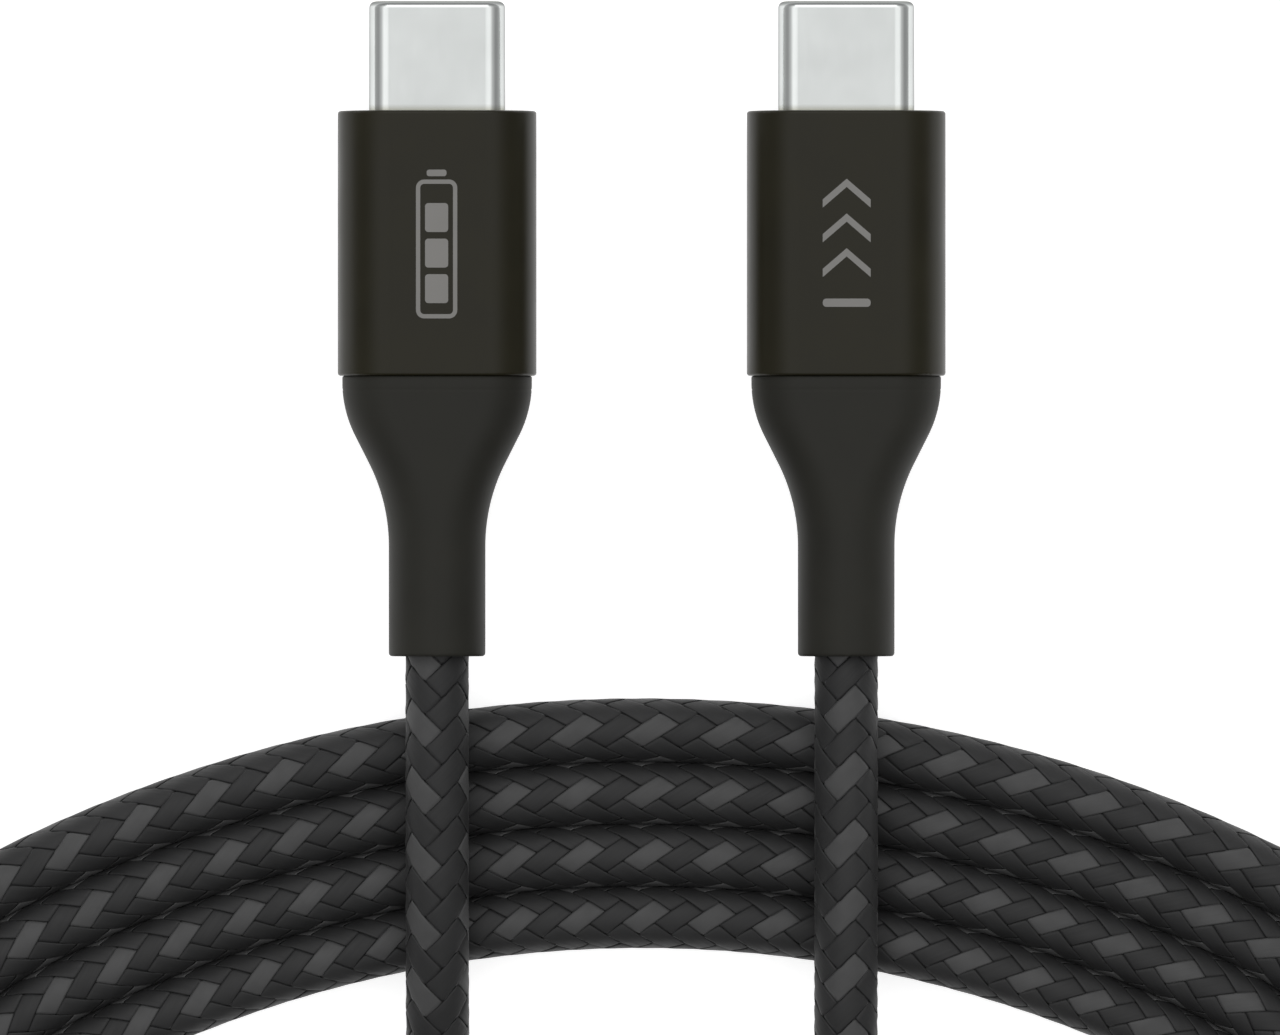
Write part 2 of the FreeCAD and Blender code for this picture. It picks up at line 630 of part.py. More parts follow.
def coil_outline(inward):
    """Closed outline in plan, parallel to the outermost turn's centreline and this far inside it."""
    upper_x, upper_y = corner_centre_upper()
    lower_x, lower_y = corner_centre_lower()
    bottom_turn = math.radians(LOWER_CORNER_DEG)
    bottom_radius = LOWER_CORNER + lower_x / math.cos(bottom_turn)
    bottom_y = lower_y + (bottom_radius - LOWER_CORNER) * math.sin(bottom_turn)
    arcs = [
        (0, TOP_CENTRE_Y, TOP_RADIUS, 90 + TOP_HALF_DEG, 90 - TOP_HALF_DEG),
        (upper_x, upper_y, UPPER_CORNER, 90 - TOP_HALF_DEG, 0),
        (lower_x, lower_y, LOWER_CORNER, 0, -LOWER_CORNER_DEG),
        (0, bottom_y, bottom_radius, -LOWER_CORNER_DEG, LOWER_CORNER_DEG - 180),
        (-lower_x, lower_y, LOWER_CORNER, LOWER_CORNER_DEG - 180, -180),
        (-upper_x, upper_y, UPPER_CORNER, 180, 90 + TOP_HALF_DEG),
    ]
    edges = []
    for x, y, radius, start, end in arcs:
        ends = []
        for angle in (start, (start + end) / 2, end):
            a = math.radians(angle)
            reach = radius - inward
            ends.append(vec(x + reach * math.cos(a), y + reach * math.sin(a), 0))
        edges.append(Part.Arc(*ends).toShape())
    return Part.Wire(edges)


def cord_coil():
    """The coil's outer shape: a flat ring one cord thick and TURN_COUNT cords wide."""
    outer = Part.Face(coil_outline(-CORD_D / 2))
    hole = Part.Face(coil_outline((TURN_COUNT - 1) * TURN_PITCH + CORD_D / 2))
    ring = outer.cut(hole).extrude(vec(0, 0, CORD_D))
    rims = [e for e in ring.Edges if e.BoundBox.ZLength < 1e-6]
    return ring.makeFillet(COIL_EDGE_ROUND, rims)


def cord_path(points):
    """Straight runs joined by tangent arcs, each as large as its two runs allow."""
    knots = [vec(*p) for p in points]
    edges = []
    radii = []
    length = 0.0
    start = knots[0]
    for before, corner, after in zip(knots, knots[1:], knots[2:]):
        inward = (before - corner).normalize()
        outward = (after - corner).normalize()
        half_turn = (math.pi - inward.getAngle(outward)) / 2
        tangent = 0.45 * min((before - corner).Length, (after - corner).Length)
        radius = tangent / math.tan(half_turn)
        bisector = (inward + outward).normalize()
        middle = corner + bisector * (radius / math.cos(half_turn) - radius)
        first = corner + inward * tangent
        last = corner + outward * tangent
        edges.append(Part.LineSegment(start, first).toShape())
        edges.append(Part.Arc(first, middle, last).toShape())
        length += (first - start).Length + 2 * half_turn * radius
        radii.append(radius)
        start = last
    edges.append(Part.LineSegment(start, knots[-1]).toShape())
    length += (knots[-1] - start).Length
    return Part.Wire(edges), length, radii


def cord_lead(name, points, coil):
    """A round tube along the route, trimmed where it meets the coil."""
    path, length, radii = cord_path(points)
    start = path.Edges[0]
    heading = start.tangentAt(start.FirstParameter)
    profile = Part.Wire([Part.makeCircle(CORD_D / 2, vec(*points[0]), heading)])
    lead = path.makePipeShell([profile], True, False)
    expected = math.pi * (CORD_D / 2) ** 2 * length
    print(f"{name}: length {length:.1f} mm, volume / expected {lead.Volume / expected:.4f}")
    print(f"{name}: radii " + " ".join(f"{r:.1f}" for r in radii))
    return lead.cut(coil)


# ---- assembly ----
def place(shape, side):
    """Tilt a connector's piece and stand it in the row frame, left (side -1) or right (side 1)."""
    placed = shape.copy()
    placed.rotate(vec(0, 0, 0), vec(1, 0, 0), -TILT_DEG)
    placed.translate(vec(side * CONNECTOR_X, SHIFT_Y, LIFT_Z))
    return placed


def connector_pieces():
    """Every piece that both connectors have."""
    return {
        "housing": housing(),
        "strain_relief": strain_relief(),
        "plug_shell": plug_shell(),
        "contact_block": contact_block(),
        "upper_contacts": contacts(UPPER_FITTED, 1),
        "lower_contacts": contacts(LOWER_FITTED, -1),
        "latch_base": latch_base(),
        "latch_arm_left": latch_arm(-1),
        "latch_arm_right": latch_arm(1),
        "shielding_springs": shielding_springs(),
        "paddle_card": paddle_card(),
        "card_pads": card_pads(),
        "card_parts": card_parts(),
        "shield_can_upper": shield_can(1),
        "shield_can_lower": shield_can(-1),
        "power_wires": power_wires(),
        "signal_wires": signal_wires(),
        "cord_jacket": cord_jacket(),
        "cord_sleeve": cord_sleeve(),
        "crimp_ferrule": crimp_ferrule(),
        "inner_mould": inner_mould(),
    }


def export(shape, name):
    """Write one sub-part to its own STEP file."""
    if not shape.isValid():
        print("NOT VALID", name)
    shape.exportStep(os.path.join("parts", name + ".step"))
    print(f"{name}: {len(shape.Solids)} solid(s), {shape.Volume:.2f} mm3")


def main():
    os.makedirs("parts", exist_ok=True)
    for name, shape in connector_pieces().items():
        export(place(shape, -1), name + "_a")
        export(place(shape, 1), name + "_b")
    export(place(marker_chip(), -1), "marker_chip_a")
    coil = cord_coil()
    export(coil, "cord_coil")
    export(cord_lead("cord_lead_a", LEFT_LEAD, coil), "cord_lead_a")
    export(cord_lead("cord_lead_b", RIGHT_LEAD[::-1], coil), "cord_lead_b")


main()
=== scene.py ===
import json
import math

import bpy
import numpy as np
from mathutils import Matrix, Vector


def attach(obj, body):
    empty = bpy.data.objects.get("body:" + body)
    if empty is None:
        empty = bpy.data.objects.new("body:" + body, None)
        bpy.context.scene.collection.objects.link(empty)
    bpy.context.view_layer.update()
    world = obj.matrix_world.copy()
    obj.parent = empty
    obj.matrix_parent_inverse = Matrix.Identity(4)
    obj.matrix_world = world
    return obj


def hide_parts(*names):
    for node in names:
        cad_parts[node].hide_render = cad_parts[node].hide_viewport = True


# A USB-C to USB-C charging cable with a braided cord. Metres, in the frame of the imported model:
# the floor is z = 0, +Y is the way both plugs point, and the origin lies midway between them.

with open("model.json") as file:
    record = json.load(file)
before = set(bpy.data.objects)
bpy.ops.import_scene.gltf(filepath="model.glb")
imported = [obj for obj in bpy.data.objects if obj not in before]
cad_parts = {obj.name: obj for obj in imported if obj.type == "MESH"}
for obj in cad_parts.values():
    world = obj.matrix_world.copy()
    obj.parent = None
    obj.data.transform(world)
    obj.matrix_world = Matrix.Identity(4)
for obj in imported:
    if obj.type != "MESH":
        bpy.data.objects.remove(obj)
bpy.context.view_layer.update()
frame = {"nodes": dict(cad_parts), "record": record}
MM = 0.001

# ---- cord ----
CORE_R = 1.60 * MM              # the round core under the braid
CORD_EXIT_Y = -19.721
CORD_EXIT_Z = 5.770
CORD_LIE_Z = 1.90               # height of the centreline where the cord lies on the floor
INTO_BOOT = 3.0 * MM            # the braid runs on this far inside each strain relief

# Route of the cord, in millimetres: from the left connector over the coil's top turns, down into
# its middle and round to the innermost turn.
LEFT_LEAD = [
    (-12.4, CORD_EXIT_Y, CORD_EXIT_Z),
    (-12.4, -28.0, 6.42),
    (-12.4, -37.0, 6.30),
    (-12.4, -45.6, 3.90),
    (-11.5, -52.9, 2.20),
    (-11.4, -59.1, 1.90),
    (-13.8, -64.8, 1.90),
    (-18.2, -69.2, 1.90),
    (-23.9, -71.4, 1.90),
    (-29.8, -71.2, 1.90),
]

# From the outermost turn's right side, up over the lower turns and across the middle to the
# right connector.
RIGHT_LEAD = [
    (52.9, -61.9, 2.20),
    (48.0, -72.2, 3.60),
    (40.3, -78.6, 5.20),
    (31.9, -80.7, 6.10),
    (23.2, -78.8, 6.25),
    (16.4, -73.6, 6.10),
    (12.7, -66.0, 5.70),
    (12.4, -58.2, 5.20),
    (12.4, -50.6, 5.15),
    (12.4, -43.0, 5.70),
    (12.4, -35.6, 6.35),
    (12.4, -28.0, 6.42),
    (12.4, CORD_EXIT_Y, CORD_EXIT_Z),
]

# ---- coil: centreline of the outermost turn, in millimetres and degrees ----
TURN_COUNT = 4
TURN_PITCH = 3.80
TOP_CENTRE_Y = -110.25
TOP_RADIUS = 85.7
TOP_HALF_DEG = 27.3
UPPER_CORNER = 25.0
LOWER_CORNER = 26.0
LOWER_CORNER_DEG = 72.0
SHIFT_FROM_DEG = -75.0          # along the bottom the cord moves out by one track between these
SHIFT_TO_DEG = -105.0

# ---- braid: two over, two under; places on it are counted in strands (see braid_points) ----
HAND_STRANDS = 8                # strands that wind each way
WEAVE_REPEAT = 4                # crossings after which a strand's path repeats, and light floats too
STRAND_TOP = 1.935 * MM         # outer radius of a strand where it lies over
STRAND_STEP = 0.17 * MM         # how much lower it lies where it goes under
STRAND_THICK = 0.14 * MM
STRAND_HALF = 0.506             # half its width, in strands
STRAND_ACROSS = np.array([-1.0, -0.82, -0.35, 0.35, 0.82, 1.0])
STRAND_FALL = np.array([0.024, 0.004, 0.0, 0.0, 0.004, 0.024]) * MM
STRAND_BACK = np.array([0.70, -0.70])
DIVE = np.array([0.84, 0.94, 1.02, 1.12])    # from a float's middle, where a strand goes under
ROW_GAP = 0.02                  # no row of points lies nearer than this to a strand's end
LEFT_HAND_OVER = 2.5            # place of the floats' middles, for the strands that wind left
RIGHT_HAND_OVER = 0.5
LEFT_LIGHT_AT = 1.5             # crossings, of each four, at which a light strand's float is centred
RIGHT_LIGHT_AT = 0.5
ROW_UP = math.radians(56.25)    # turns a row of left-hand floats to the top
LEAD_MARK_STEP = 4.02 * MM      # from one light float to the next along the leads
TURN_MARK_DEG = 3.05            # the same along the coil's top, as an angle
LEFT_LEAD_TWIST = math.radians(27)    # the twists turn the light floats up to the camera
TURN_TWIST = math.radians(-5)
RIGHT_LEAD_TWIST = math.radians(45)
LEAD_SPREAD = 0.45              # on top of the leads the strands spread by this share, and gather below
TOP_MARK_SHIFT = [0.27 * MM, 0.42 * MM, 0.50 * MM, 0.60 * MM]   # first light float right of x = 0
RIGHT_MARK_SHIFT = 3.19 * MM    # last light float before the right strain relief
SEEN_LEAD = 26 * MM
SEEN_HALF_TURN = 45 * MM

# ---- connectors, in millimetres: y = 0 is the housing's front, +Y is towards the plug's tip ----
PLUG_REACH = 6.65
HOUSING_THICK = 6.40
HOUSING_LENGTH = 16.05
BOOT_WIDTH = 11.50
BOOT_LENGTH = 17.00
BOOT_TAIL_R = 2.93
BOOT_BORE_R = 1.93
SPIGOT_WIDTH = 10.39
SPIGOT_THICK = 4.74
SPIGOT_FRONT = -14.50
SHOULDER_RADIUS = 7.10
HOLLOW_RADIUS = 11.10
FLANK_DEG = 26.8
SHOULDER_START = 0.40
BOOT_LINE_AT = 0.85             # a fine moulded line round the boot's head
BOOT_LINE_HALF = 0.09
BOOT_LINE_DEPTH = 0.022
BOOT_RINGS = 56                 # rings of points behind that line
HEAD_ROUND = 0.12
TAIL_ROUND = 0.21
TAIL_RINGS = 5
CAP_SEGMENTS = 28
SHARP_ANGLE = math.radians(40)  # edges sharper than this stay sharp in boots and marks

# ---- printed marks, in millimetres ----
PRINT_THICK = 0.012
PRINT_CENTRE_Y = -8.05
PRINT_LINE = 0.26               # width of the battery's frame
BATTERY = (2.50, 8.40, 0.50)    # width, length and corner radius; so for the next two and the bar
TERMINAL = (1.20, 0.40, 0.15)
LEVEL = (1.40, 1.75, 0.20)
BATTERY_Y = -0.35
TERMINAL_Y = 4.25
LEVEL_FIRST_Y = -2.75
LEVEL_STEP = 2.15
CHEVRON_HALF = 1.45
CHEVRON_RISE = 1.25
CHEVRON_THICK = 0.50
CHEVRON_FIRST_Y = -1.55
CHEVRON_STEP = 2.10
BAR = (2.90, 0.50, 0.22)
BAR_Y = -3.60
SIGN_REPEATS = 3                # levels in the battery, and chevrons

# ---- camera: looks square on to the connectors' tops, which slope down to the plugs ----
VIEW_WIDTH = 77.6 * MM
VIEW_CENTRE_X = -0.1 * MM
VIEW_BEHIND = 24.64             # from the housings' fronts to the middle of the picture
SENSOR = 36.0
LENS = 600.0

# ---- light ----
SKY_LEVELS = [                  # height of a direction, from the horizon at 0 to straight up, and level
    (0.0, 0.62),
    (0.25, 0.41),
    (0.50, 0.38),
    (0.75, 0.72),
    (0.87, 1.32),
    (0.965, 1.32),
    (1.0, 0.94),
]
SKY_LEAN = (-0.05, 0.52, 0.0)   # share by which the surroundings get lighter along X and Y
KEY_PLACE = (0.0, 0.50, 0.55)
KEY_TARGET = (0, -0.03, 0)
KEY_SIZE = 0.40
KEY_POWER = 0.6
FLOOR_HALF = 1.5
FLOOR_WHITE = (0.7, 0.7, 0.7, 1)
FLOOR_GLOW = 0.72

# ---- colours, linear ----
DARK_NYLON = (0.0190, 0.0190, 0.0194)
LIGHT_NYLON = (0.0580, 0.0580, 0.0584)
SHELL_NICKEL = (0.612, 0.632, 0.624)
SHELL_PAINTED_SHADE = [                # painted shade along the plug, from the housing to the rim that turns in: a warm painted shadow where it goes into the housing, plain between, a painted dark line at the rim
    (0.0, (0.60, 0.58, 0.50)),
    (0.06, (1, 1, 1)),
    (0.95, (1, 1, 1)),
    (0.975, (0.45, 0.45, 0.45)),
]
CLOUD_SCALE = 260               # slow changes of colour: features in a metre
METAL_CLOUD_SCALE = 320
BRAID_CLOUD_SCALE = 700
FILAMENT_STRETCH = (9.0, 0.35, 3.1)    # filaments: across a strand, along it, from one to the next


# ---- cord and coil ----
def coil_arcs():
    """The outermost turn's arcs, clockwise from the top left: centre, radius, normals, steps."""
    turn = math.radians(90 - TOP_HALF_DEG)
    upper_x = (TOP_RADIUS - UPPER_CORNER) * math.cos(turn)
    corner_y = TOP_CENTRE_Y + (TOP_RADIUS - UPPER_CORNER) * math.sin(turn)
    lower_x = upper_x + UPPER_CORNER - LOWER_CORNER
    bottom_turn = math.radians(LOWER_CORNER_DEG)
    bottom_reach = lower_x / math.cos(bottom_turn)
    bottom_y = corner_y + bottom_reach * math.sin(bottom_turn)
    bottom_radius = LOWER_CORNER + bottom_reach
    return [
        (0, TOP_CENTRE_Y, TOP_RADIUS, 90 + TOP_HALF_DEG, 90 - TOP_HALF_DEG, 10),
        (upper_x, corner_y, UPPER_CORNER, 90 - TOP_HALF_DEG, 0, 4),
        (lower_x, corner_y, LOWER_CORNER, 0, -LOWER_CORNER_DEG, 4),
        (0, bottom_y, bottom_radius, -LOWER_CORNER_DEG, LOWER_CORNER_DEG - 180, 8),
        (-lower_x, corner_y, LOWER_CORNER, LOWER_CORNER_DEG - 180, -180, 4),
        (-upper_x, corner_y, UPPER_CORNER, 180, 90 + TOP_HALF_DEG, 4),
    ]


def shifted_out(degrees):
    """How far the cord has moved out to the next track, 0 to 1, where its outward normal is this."""
    share = (degrees - SHIFT_FROM_DEG) / (SHIFT_TO_DEG - SHIFT_FROM_DEG)
    share = min(max(share, 0.0), 1.0)
    return share * share * (3 - 2 * share)


def arc_points(arc, track):
    """Points in the middles of an arc's steps, a little outside it, as the spline runs inside them."""
    x, y, radius, first, last, steps = arc
    step = (last - first) / steps
    points = []
    for index in range(steps):
        degrees = first + step * (index + 0.5)
        lies_on = track
        if first == -LOWER_CORNER_DEG:
            lies_on += shifted_out(degrees)
        reach = radius - (TURN_COUNT - 1 - lies_on) * TURN_PITCH
        reach *= 1 + math.radians(step) ** 2 / 8
        angle = math.radians(degrees)
        points.append((x + reach * math.cos(angle), y + reach * math.sin(angle), CORD_LIE_Z))
    return points


def coil_points():
    """Control points of the turns, from track 0's lower left corner to the last track's right side."""
    top, upper_right, lower_right, bottom, lower_left, upper_left = coil_arcs()
    points = []
    for track in range(TURN_COUNT):
        points += arc_points(lower_left, track)
        points += arc_points(upper_left, track)
        points += arc_points(top, track)
        points += arc_points(upper_right, track)
        if track < TURN_COUNT - 1:
            points += arc_points(lower_right, track)
            points += arc_points(bottom, track)
    return points


def cord_core():
    """The cord's whole route as one smooth spline, thick enough to close the braid from inside."""
    route = LEFT_LEAD + coil_points() + RIGHT_LEAD
    curve = bpy.data.curves.new("cord_core", "CURVE")
    curve.dimensions = "3D"
    curve.resolution_u = 12
    spline = curve.splines.new("NURBS")
    spline.points.add(len(route) - 1)
    for point, (x, y, z) in zip(spline.points, route):
        point.co = (x * MM, y * MM, z * MM, 1.0)
    spline.order_u = 3
    spline.use_endpoint_u = True
    core = bpy.data.objects.new("cord_core", curve)
    bpy.context.scene.collection.objects.link(core)
    return core


def line_points(core):
    """Points along the route's spline, a fraction of a millimetre apart."""
    bare = bpy.data.objects.new("bare_line", core.data.copy())
    mesh = bpy.data.meshes.new_from_object(bare)
    points = np.array([v.co for v in mesh.vertices], float)
    bpy.data.meshes.remove(mesh)
    bpy.data.curves.remove(bare.data)
    return points


def distances(points):
    """How far along the line each of its points is."""
    return np.concatenate([[0.0], np.cumsum(np.linalg.norm(np.diff(points, axis=0), axis=1))])


# ---- braid ----
def run_on(end, before):
    """A point on past the end of the line, inside a boot."""
    return end + (end - before) / np.linalg.norm(end - before) * INTO_BOOT


def line_frames(points):
    """The line, run on a little inside both boots, with its distances and its up and side vectors."""
    line = np.vstack([run_on(points[0], points[1]), points, run_on(points[-1], points[-2])])
    along = distances(line) - INTO_BOOT
    tangent = np.gradient(line, along, axis=0)
    tangent /= np.linalg.norm(tangent, axis=1)[:, None]
    up = np.array([0.0, 0.0, 1.0]) - tangent * tangent[:, 2:]
    up /= np.linalg.norm(up, axis=1)[:, None]
    side = np.cross(tangent, up)
    return line, along, up, side


def top_places(points, along):
    """How far along the cord the middle of each turn's top is, innermost first.

    The turns' bottoms cross x = 0 too, but further back."""
    found = []
    for index in range(1, len(points)):
        left, right = points[index - 1], points[index]
        if left[0] < 0 <= right[0] and right[1] > TOP_CENTRE_Y * MM / 2:
            share = -left[0] / (right[0] - left[0])
            found.append(along[index - 1] + share * (along[index] - along[index - 1]))
    return found


def crossing_counts(points, length):
    """Distances along the cord with the number of braid crossings up to each of them.

    Where the light floats are seen best, windows set their places and spacing. Between windows the
    spacing stretches a little, so that the count stays whole."""
    along = distances(points)
    windows = [(0.0, LEFT_LIGHT_AT, LEAD_MARK_STEP, INTO_BOOT, SEEN_LEAD)]
    for track, place in enumerate(top_places(points, along)):
        radius = (TOP_RADIUS - (TURN_COUNT - 1 - track) * TURN_PITCH) * MM
        mark_step = radius * math.radians(TURN_MARK_DEG)
        mark_at = place + TOP_MARK_SHIFT[track]
        windows.append((mark_at, LEFT_LIGHT_AT, mark_step, SEEN_HALF_TURN, SEEN_HALF_TURN))
    last_mark = length - RIGHT_MARK_SHIFT
    windows.append((last_mark, RIGHT_LIGHT_AT, LEAD_MARK_STEP, SEEN_LEAD, RIGHT_MARK_SHIFT + INTO_BOOT))
    places = []
    counts = []
    for place, count, mark_step, before, after in windows:
        first = count - WEAVE_REPEAT * before / mark_step
        if places:
            guess = counts[-1] + WEAVE_REPEAT * (place - before - places[-1]) / LEAD_MARK_STEP
            first += WEAVE_REPEAT * round((guess - first) / WEAVE_REPEAT)
        places += [place - before, place + after]
        counts += [first, first + WEAVE_REPEAT * (before + after) / mark_step]
    return np.array(places), np.array(counts)


def braid_points(left, right, radius, frames, places, counts, change_places, twists, spreads):
    """Points on the braid, from how many left-hand and right-hand strands they are round it."""
    line, along, up, side = frames
    place = np.interp(left - right, counts, places)
    turn = (left + right) * math.pi / HAND_STRANDS - ROW_UP
    turn += np.interp(place, change_places, twists)
    turn += np.interp(place, change_places, spreads) * np.sin(turn)
    point = np.zeros(place.shape + (3,))
    for axis in range(3):
        middle = np.interp(place, along, line[:, axis])
        upward = np.interp(place, along, up[:, axis])
        sideways = np.interp(place, along, side[:, axis])
        point[..., axis] = middle + radius * (np.cos(turn) * upward + np.sin(turn) * sideways)
    return point, place


def strand_rows(index, over, first, last):
    """Places of a strand's cross-sections between two counts, and how far under each one lies."""
    half = WEAVE_REPEAT / 2
    offsets = np.concatenate([[-half], -DIVE[::-1], [0.0], DIVE])
    start = over - index
    first_repeat = math.floor((first - start) / WEAVE_REPEAT) - 1
    last_repeat = math.ceil((last - start) / WEAVE_REPEAT) + 1
    repeats = np.arange(first_repeat, last_repeat + 1)
    rows = (start + WEAVE_REPEAT * repeats[:, None] + offsets).ravel()
    inside = (rows > first + ROW_GAP) & (rows < last - ROW_GAP)
    rows = np.concatenate([[first], rows[inside], [last]])
    from_over = np.abs((rows - start + half) % WEAVE_REPEAT - half)
    share = np.clip((from_over - DIVE[0]) / (DIVE[-1] - DIVE[0]), 0, 1)
    return rows, share * share * (3 - 2 * share)


def strand(index, left_hand, first, last, weave):
    """Vertices, faces and surface coordinates of one strand between two crossing counts."""
    if left_hand:
        rows, under = strand_rows(index, LEFT_HAND_OVER, index - last, index - first)
    else:
        rows, under = strand_rows(index, RIGHT_HAND_OVER, index + first, index + last)
    across = np.concatenate([STRAND_ACROSS, STRAND_BACK])
    depth = np.concatenate([STRAND_FALL, np.full(len(STRAND_BACK), STRAND_THICK)])
    radius = STRAND_TOP - STRAND_STEP * under[:, None] - depth[None, :]
    own = np.broadcast_to(index + across * STRAND_HALF, radius.shape)
    other = np.broadcast_to(rows[:, None], radius.shape)
    left, right = (own, other) if left_hand else (other, own)
    points, place = braid_points(left, right, radius, *weave)
    columns = len(across)
    here = np.arange(len(rows) - 1)[:, None] * columns + np.arange(columns)[None, :]
    beside = np.arange(len(rows) - 1)[:, None] * columns + (np.arange(columns) + 1)[None, :] % columns
    quads = np.stack([here, beside, beside + columns, here + columns], axis=-1).reshape(-1, 4)
    caps = [list(range(columns))[::-1], [(len(rows) - 1) * columns + c for c in range(columns)]]
    if left_hand:
        quads = quads[:, ::-1]
        caps = [cap[::-1] for cap in caps]
    lateral = np.broadcast_to(across, radius.shape)
    surface = np.stack([lateral, place / MM, np.full(radius.shape, float(index))], axis=-1)
    return points.reshape(-1, 3), quads.tolist() + caps, surface.reshape(-1, 3)


def braid_piece(name, strands, weave):
    """One mesh of several strands, with their surface coordinates in the attribute strand_place."""
    vertices = []
    faces = []
    places = []
    count = 0
    for index, left_hand, first, last in strands:
        points, polygons, surface = strand(index, left_hand, first, last, weave)
        faces += [[corner + count for corner in polygon] for polygon in polygons]
        vertices.append(points)
        places.append(surface)
        count += len(points)
    piece = mesh_object(name, np.vstack(vertices).tolist(), faces)
    attribute = piece.data.attributes.new("strand_place", "FLOAT_VECTOR", "POINT")
    attribute.data.foreach_set("vector", np.vstack(places).astype(np.float32).ravel())
    return piece


def mesh_object(name, vertices, faces):
    """A smooth-shaded mesh from lists of vertices and faces."""
    mesh = bpy.data.meshes.new(name)
    mesh.from_pydata(vertices, [], faces)
    mesh.update()
    mesh.shade_smooth()
    made = bpy.data.objects.new(name, mesh)
    bpy.context.scene.collection.objects.link(made)
    return made


def make_cord():
    """The core, its four meshes of strands and their materials, all attached to the cable body, with the
    CAD cord hidden.
    """
    core = cord_core()
    points = line_points(core)
    length = float(distances(points)[-1])
    core.data.bevel_depth = CORE_R
    core.data.bevel_resolution = 4
    core.data.use_fill_caps = True
    core.data.materials.append(plastic("braid_core", (0.005, 0.005, 0.005), 0.80, gloss=0.10))
    places, counts = crossing_counts(points, length)
    first, last = float(counts[0]), float(counts[-1])
    climb = Vector(RIGHT_LEAD[0]) * MM
    swap_place = distances(points)[np.argmin(np.linalg.norm(points - np.array(climb), axis=1))]
    swap = float(np.interp(swap_place, places, counts))
    change_places = [0, SEEN_LEAD, 2 * SEEN_LEAD, swap_place - SEEN_LEAD, swap_place + SEEN_LEAD]
    twists = [LEFT_LEAD_TWIST, LEFT_LEAD_TWIST, TURN_TWIST, TURN_TWIST, RIGHT_LEAD_TWIST]
    spreads = [LEAD_SPREAD, LEAD_SPREAD, 0, 0, LEAD_SPREAD]
    weave = (line_frames(points), places, counts, change_places, twists, spreads)
    even = range(0, HAND_STRANDS, 2)
    odd = range(1, HAND_STRANDS, 2)
    light = [(i, True, first, swap) for i in even] + [(i, False, swap, last) for i in even]
    dark_even = [(i, False, first, swap) for i in even] + [(i, True, swap, last) for i in even]
    pieces = [
        braid_piece("braid_light", light, weave),
        braid_piece("braid_dark_even", dark_even, weave),
        braid_piece("braid_dark_left", [(i, True, first, last) for i in odd], weave),
        braid_piece("braid_dark_right", [(i, False, first, last) for i in odd], weave),
    ]
    dark_material = braid_material("braid_dark", DARK_NYLON)
    pieces[0].data.materials.append(braid_material("braid_light", LIGHT_NYLON))
    for piece in pieces[1:]:
        piece.data.materials.append(dark_material)
    for piece in [core] + pieces:
        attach(piece, "cable")
    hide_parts("cord_coil", "cord_lead_a", "cord_lead_b")


# ---- connectors ----
def connector_matrix(end):
    """Stands a connector's own frame in the row frame, from the mount at its plug's tip."""
    mount = next(m for m in frame["record"]["mounts"] if m["name"] == "plug_" + end)
    along = Vector(mount["axis"]).normalized()
    across = Vector((1, 0, 0))
    up = across.cross(along)
    origin = Vector(mount["pos_m"]) - along * PLUG_REACH * MM
    turned = Matrix((across, along, up)).transposed().to_4x4()
    return Matrix.Translation(origin) @ turned @ Matrix.Scale(MM, 4)


def stadium_ring(half_width, radius, y):
    """A ring of points across Y: flat top and bottom, half-round sides."""
    flat = half_width - radius
    ring = []
    for side in (1, -1):
        for index in range(CAP_SEGMENTS + 1):
            angle = math.pi * (index / CAP_SEGMENTS - 0.5)
            ring.append((side * (flat + radius * math.cos(angle)), y, side * radius * math.sin(angle)))
    return ring


def boot_half_width(behind):
    """Half the strain relief's width at a distance behind the housing."""
    flank = math.radians(FLANK_DEG)
    head = BOOT_WIDTH / 2
    shoulder_end = SHOULDER_START + SHOULDER_RADIUS * math.sin(flank)
    shoulder_drop = SHOULDER_RADIUS * (1 - math.cos(flank))
    hollow_drop = HOLLOW_RADIUS * (1 - math.cos(flank))
    flank_drop = head - BOOT_TAIL_R - shoulder_drop - hollow_drop
    hollow_start = shoulder_end + flank_drop / math.tan(flank)
    hollow_end = hollow_start + HOLLOW_RADIUS * math.sin(flank)
    if behind <= SHOULDER_START:
        return head
    if behind <= shoulder_end:
        return head - SHOULDER_RADIUS + math.sqrt(SHOULDER_RADIUS ** 2 - (behind - SHOULDER_START) ** 2)
    if behind <= hollow_start:
        return head - shoulder_drop - (behind - shoulder_end) * math.tan(flank)
    if behind <= hollow_end:
        return BOOT_TAIL_R + HOLLOW_RADIUS - math.sqrt(HOLLOW_RADIUS ** 2 - (hollow_end - behind) ** 2)
    return BOOT_TAIL_R


